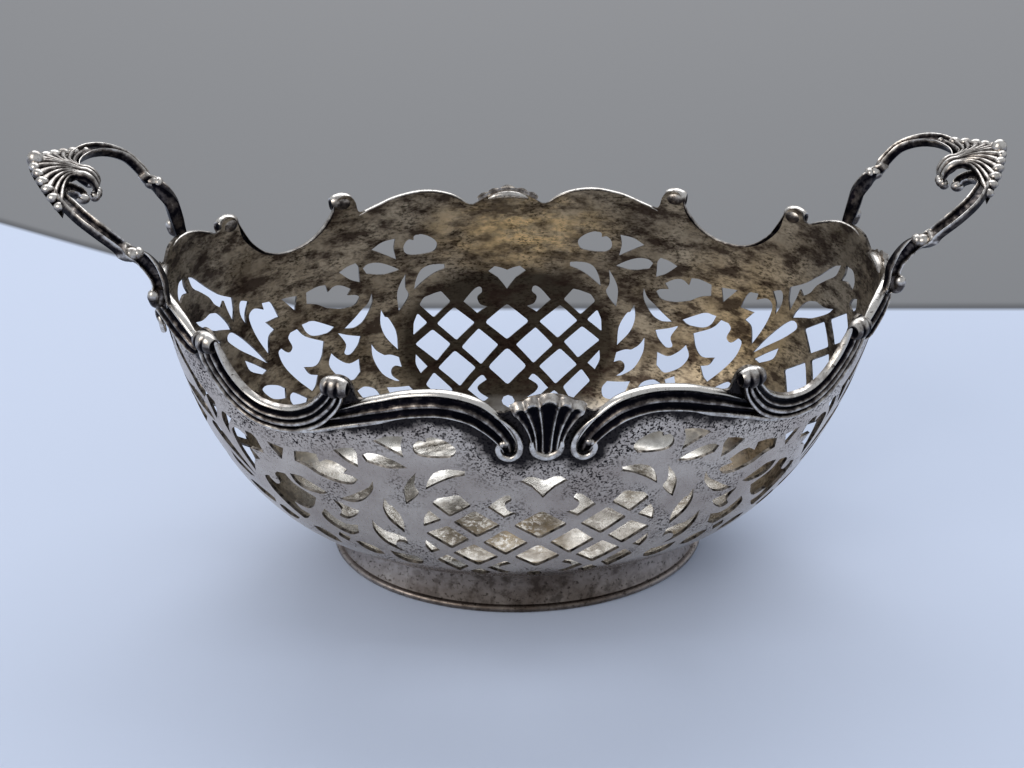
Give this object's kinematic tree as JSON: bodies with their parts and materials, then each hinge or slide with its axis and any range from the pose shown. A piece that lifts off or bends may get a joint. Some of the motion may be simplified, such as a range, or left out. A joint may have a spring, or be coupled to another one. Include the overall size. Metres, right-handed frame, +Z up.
{
  "type": "pierced basket",
  "caption": "Oval pierced silver basket with a scrolled and shell-set rim, an oval foot ring and an upswept scroll and shell handle at each end.",
  "frame": {"origin": "centre of the oval foot, on the surface it stands on", "axes": "+X along the basket through both handles, +Y across the bowl away from the viewer of the picture, +Z up"},
  "size_m": [0.1998, 0.1008, 0.0967],
  "materials": {
    "silver_sheet": "polished silver with brown and black tarnish inside and dark specks outside",
    "silver_cast": "cast silver, bright on the raised reeds and near black in the recesses",
    "silver_foot": "silver with warm grey-brown speckled tarnish"
  },
  "bodies": {
    "root": {"bowl": "silver_sheet", "foot_ring": "silver_foot", "foot_base_wire": "silver_foot", "front_shell": "silver_cast", "back_shell": "silver_cast", "left_end_shell": "silver_cast", "right_end_shell": "silver_cast", "front_left_arch_scroll": "silver_cast", "front_left_swoop_scroll": "silver_cast", "front_left_end_scroll": "silver_cast", "front_right_arch_scroll": "silver_cast", "front_right_swoop_scroll": "silver_cast", "front_right_end_scroll": "silver_cast", "back_left_arch_scroll": "silver_cast", "back_left_swoop_scroll": "silver_cast", "back_left_end_scroll": "silver_cast", "back_right_arch_scroll": "silver_cast", "back_right_swoop_scroll": "silver_cast", "back_right_end_scroll": "silver_cast", "left_handle_front_limb": "silver_cast", "left_handle_back_limb": "silver_cast", "left_handle_shell": "silver_cast", "right_handle_front_limb": "silver_cast", "right_handle_back_limb": "silver_cast", "right_handle_shell": "silver_cast"}
  },
  "joints": []
}
